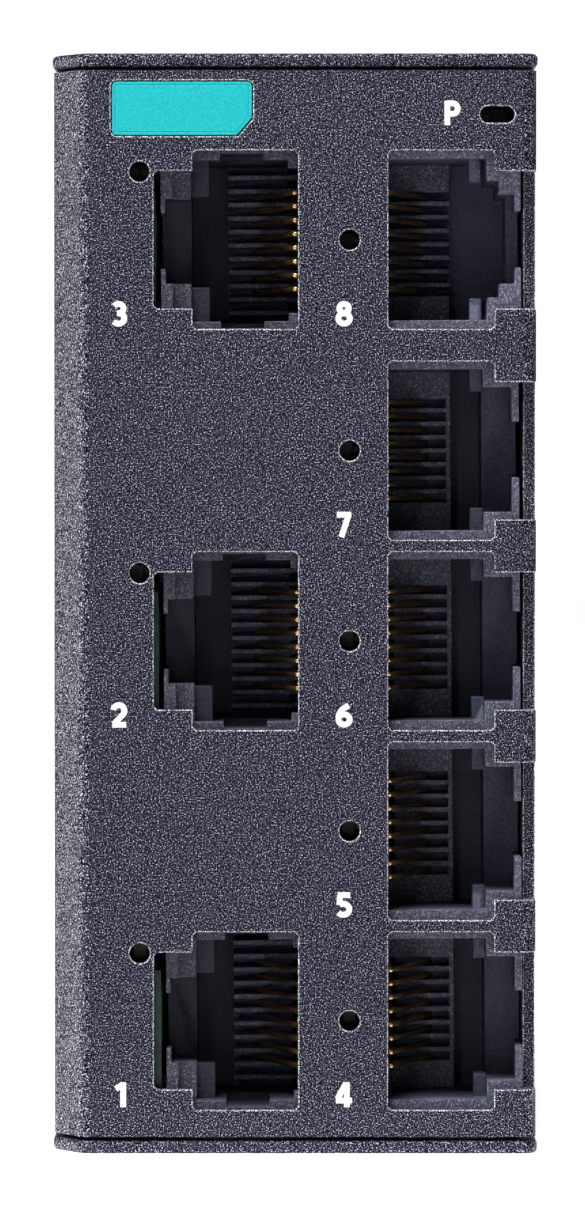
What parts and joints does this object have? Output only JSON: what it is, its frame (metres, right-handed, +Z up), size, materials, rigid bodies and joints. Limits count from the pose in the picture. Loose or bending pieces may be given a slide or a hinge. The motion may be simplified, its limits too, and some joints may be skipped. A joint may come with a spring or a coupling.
{
  "type": "ethernet switch for a din rail",
  "caption": "Network switch in a slim folded steel housing: two columns of sockets in front, power plug and slide switches on top, sprung rail latch behind.",
  "frame": {"origin": "middle of the housing's underside", "axes": "+Z up along the rail-mounted switch, +X to the right as seen from the front, +Y from the front panel to the rail"},
  "size_m": [0.037, 0.0746, 0.0834],
  "materials": {
    "coated_steel": "fine textured powder coat, near black with a violet tone",
    "teal_plate": "thin teal plate, satin, bare",
    "zinc_screw": "zinc plated screws",
    "nickel_spacer": "nickel plated spacers",
    "green_board": "green solder mask on glass fibre",
    "black_moulding": "moulded black plastic",
    "gold_contact": "gold plated contact metal",
    "jack_moulding": "black moulded nylon, slightly grey in the light",
    "lamp_body": "small pale indicator lamps",
    "clear_guide": "clear moulded light guide",
    "can_metal": "aluminium can",
    "green_moulding": "green moulded plastic",
    "tin_contact": "tin plated pins",
    "blue_moulding": "blue moulded switch body",
    "bracket_moulding": "black glass filled nylon",
    "spring_steel": "bright spring steel",
    "white_knob": "white moulded knob"
  },
  "bodies": {
    "housing": {"front_housing": "coated_steel", "rear_cover": "coated_steel", "front_label": "teal_plate", "housing_screws": "zinc_screw", "ground_screw": "zinc_screw", "ground_nut": "zinc_screw", "wall_standoffs": "nickel_spacer", "left_board": "green_board", "right_board": "green_board", "board_spacers": "nickel_spacer", "board_screws": "nickel_spacer", "link_socket": "black_moulding", "link_base": "black_moulding", "link_pins": "gold_contact", "contact_combs": "jack_moulding", "port_leds_left": "lamp_body", "port_leds_right": "lamp_body", "power_led": "lamp_body", "power_light_guide": "clear_guide", "transformers_left": "black_moulding", "transformers_right": "black_moulding", "switch_chip": "black_moulding", "crystal": "zinc_screw", "power_inductor": "black_moulding", "power_converter": "black_moulding", "fuse": "lamp_body", "capacitor": "can_metal", "terminal_header": "green_moulding", "header_pins": "tin_contact", "dip_base": "blue_moulding", "din_bracket": "bracket_moulding", "din_bracket_screw": "zinc_screw", "latch_spring": "spring_steel", "jack_port_1": "jack_moulding", "jack_port_2": "jack_moulding", "jack_port_3": "jack_moulding", "jack_port_8": "jack_moulding", "jack_ports_4_to_7": "jack_moulding", "contacts_port_1": "gold_contact", "contacts_port_2": "gold_contact", "contacts_port_3": "gold_contact", "contacts_port_4": "gold_contact", "contacts_port_5": "gold_contact", "contacts_port_6": "gold_contact", "contacts_port_7": "gold_contact", "contacts_port_8": "gold_contact"},
    "latch": {"din_latch": "bracket_moulding"},
    "plug": {"terminal_plug": "green_moulding", "plug_contacts": "tin_contact"},
    "screw_1": {"terminal_screw_1": "zinc_screw"},
    "screw_2": {"terminal_screw_2": "zinc_screw"},
    "screw_3": {"terminal_screw_3": "zinc_screw"},
    "slider_1": {"dip_slider_1": "white_knob"},
    "slider_2": {"dip_slider_2": "white_knob"}
  },
  "joints": [
    {"name": "latch_slide", "type": "slide", "parent": "housing", "child": "latch", "axis": [0, 0, -1], "range_m": [0, 0.0035], "stiffness_N_per_m": 1500, "springref_m": -0.004, "deforming": ["latch_spring"]},
    {"name": "plug_slide", "type": "slide", "parent": "housing", "child": "plug", "axis": [-0.0066, 0, 1], "range_m": [0, 0.012]},
    {"name": "screw_1_turn", "type": "hinge", "parent": "plug", "child": "screw_1", "pos_m": [-0.00713, 0.00292, 0.07895], "axis": [-0.0066, 0, 1], "range_deg": [0, 1080]},
    {"name": "screw_2_turn", "type": "hinge", "parent": "plug", "child": "screw_2", "pos_m": [-0.00713, 0.008, 0.07895], "axis": [-0.0066, 0, 1], "range_deg": [0, 1080]},
    {"name": "screw_3_turn", "type": "hinge", "parent": "plug", "child": "screw_3", "pos_m": [-0.00713, 0.01308, 0.07895], "axis": [-0.0066, 0, 1], "range_deg": [0, 1080]},
    {"name": "slider_1_slide", "type": "slide", "parent": "housing", "child": "slider_1", "axis": [1, 0, 0.0066], "range_m": [0, 0.0015]},
    {"name": "slider_2_slide", "type": "slide", "parent": "housing", "child": "slider_2", "axis": [1, 0, 0.0066], "range_m": [0, 0.0015]}
  ]
}
